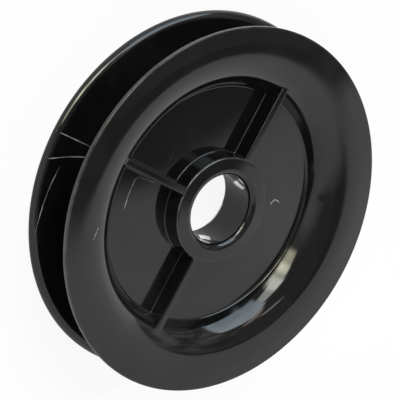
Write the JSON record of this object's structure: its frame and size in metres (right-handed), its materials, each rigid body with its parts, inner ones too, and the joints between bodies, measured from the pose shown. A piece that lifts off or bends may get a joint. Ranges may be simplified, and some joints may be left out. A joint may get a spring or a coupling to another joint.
{
  "type": "wire rope sheave",
  "caption": "Moulded wire rope sheave: flared rims round a tapering rope groove, a thin web dished on both sides with radial ribs, and a plain-bored hub.",
  "frame": {"origin": "middle of the bore, half way between the two rim faces", "axes": "+Z along the bore axis, out of the face shown; -Y along the middle one of the ribs; +Y towards the half without ribs"},
  "size_m": [0.13, 0.13, 0.023],
  "materials": {
    "wheel_plastic": "gloss"
  },
  "bodies": {
    "root": {"sheave_wheel": "wheel_plastic"}
  },
  "joints": []
}
